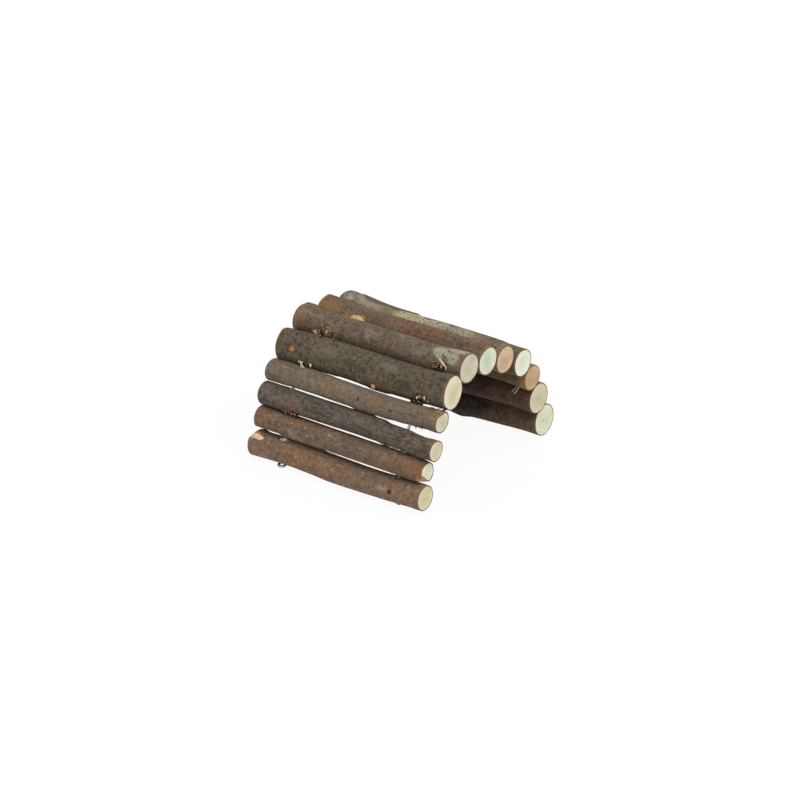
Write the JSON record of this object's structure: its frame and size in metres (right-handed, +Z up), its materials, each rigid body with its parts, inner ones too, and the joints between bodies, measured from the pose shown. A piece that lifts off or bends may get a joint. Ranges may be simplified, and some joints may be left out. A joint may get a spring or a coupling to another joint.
{
  "type": "rodent bridge",
  "caption": "Bendable log bridge for small rodents: bark-covered branch lengths threaded side by side on soft steel wires, standing as an arch on wire eyes.",
  "frame": {"origin": "on the floor under the middle of the bridge as it stands as an arch", "axes": "+X across the span from the left foot to the right one, +Y along the logs from front to rear, +Z up"},
  "size_m": [0.1882, 0.168, 0.1116],
  "materials": {
    "bark_red_brown": "rough reddish-brown bark",
    "bark_grey_brown": "rough grey-brown bark",
    "bark_mossy": "rough dark bark with green moss",
    "bark_lichened": "rough pale bark with lichen",
    "bark_dark_brown": "rough dark brown bark",
    "galvanised_wire": "dull zinc-coated soft steel wire"
  },
  "bodies": {
    "body_01": {"log_01": "bark_red_brown", "front_wire_01": "galvanised_wire", "rear_wire_01": "galvanised_wire"},
    "body_02": {"log_02": "bark_red_brown", "front_wire_02": "galvanised_wire", "rear_wire_02": "galvanised_wire"},
    "body_03": {"log_03": "bark_grey_brown", "front_wire_03": "galvanised_wire", "rear_wire_03": "galvanised_wire"},
    "body_04": {"log_04": "bark_grey_brown", "front_wire_04": "galvanised_wire", "rear_wire_04": "galvanised_wire"},
    "body_05": {"log_05": "bark_mossy", "front_wire_05": "galvanised_wire", "rear_wire_05": "galvanised_wire"},
    "body_06": {"log_06": "bark_grey_brown", "front_wire_06": "galvanised_wire", "rear_wire_06": "galvanised_wire"},
    "body_07": {"log_07": "bark_red_brown", "front_wire_07": "galvanised_wire", "rear_wire_07": "galvanised_wire"},
    "body_08": {"log_08": "bark_lichened", "front_wire_08": "galvanised_wire", "rear_wire_08": "galvanised_wire"},
    "body_09": {"log_09": "bark_dark_brown", "front_wire_09": "galvanised_wire", "rear_wire_09": "galvanised_wire"},
    "body_10": {"log_10": "bark_dark_brown", "front_wire_10": "galvanised_wire", "rear_wire_10": "galvanised_wire"},
    "body_11": {"log_11": "bark_dark_brown", "front_wire_11": "galvanised_wire", "rear_wire_11": "galvanised_wire"},
    "body_12": {"log_12": "bark_dark_brown", "front_wire_12": "galvanised_wire", "rear_wire_12": "galvanised_wire"}
  },
  "joints": [
    {"name": "bend_06_07", "type": "hinge", "parent": "body_07", "child": "body_06", "pos_m": [-0.01572, 0.00032, 0.10146], "axis": [0, -1, 0], "range_deg": [-25.5, 4.5]},
    {"name": "bend_05_06", "type": "hinge", "parent": "body_06", "child": "body_05", "pos_m": [-0.04038, 0.00032, 0.09582], "axis": [0, -1, 0], "range_deg": [-25.5, 3.5]},
    {"name": "bend_04_05", "type": "hinge", "parent": "body_05", "child": "body_04", "pos_m": [-0.06234, 0.00032, 0.07844], "axis": [0, -1, 0], "range_deg": [-22.5, 7.5]},
    {"name": "bend_03_04", "type": "hinge", "parent": "body_04", "child": "body_03", "pos_m": [-0.07154, 0.00032, 0.06193], "axis": [0, -1, 0], "range_deg": [-9.5, 14.5]},
    {"name": "bend_02_03", "type": "hinge", "parent": "body_03", "child": "body_02", "pos_m": [-0.07802, 0.00032, 0.04376], "axis": [0, -1, 0], "range_deg": [-9, 11]},
    {"name": "bend_01_02", "type": "hinge", "parent": "body_02", "child": "body_01", "pos_m": [-0.08164, 0.00032, 0.02449], "axis": [0, -1, 0], "range_deg": [-8.5, 17.5]},
    {"name": "bend_07_08", "type": "hinge", "parent": "body_07", "child": "body_08", "pos_m": [0.00799, 0.00032, 0.09614], "axis": [0, 1, 0], "range_deg": [-6, 11]},
    {"name": "bend_08_09", "type": "hinge", "parent": "body_08", "child": "body_09", "pos_m": [0.0313, 0.00032, 0.08828], "axis": [0, 1, 0], "range_deg": [-19.5, 6.5]},
    {"name": "bend_09_10", "type": "hinge", "parent": "body_09", "child": "body_10", "pos_m": [0.05042, 0.00032, 0.07328], "axis": [0, 1, 0], "range_deg": [-24.5, 5.5]},
    {"name": "bend_10_11", "type": "hinge", "parent": "body_10", "child": "body_11", "pos_m": [0.06081, 0.00032, 0.0532], "axis": [0, 1, 0], "range_deg": [-1, 25]},
    {"name": "bend_11_12", "type": "hinge", "parent": "body_11", "child": "body_12", "pos_m": [0.07298, 0.00032, 0.02866], "axis": [0, 1, 0], "range_deg": [-1, 19]}
  ]
}
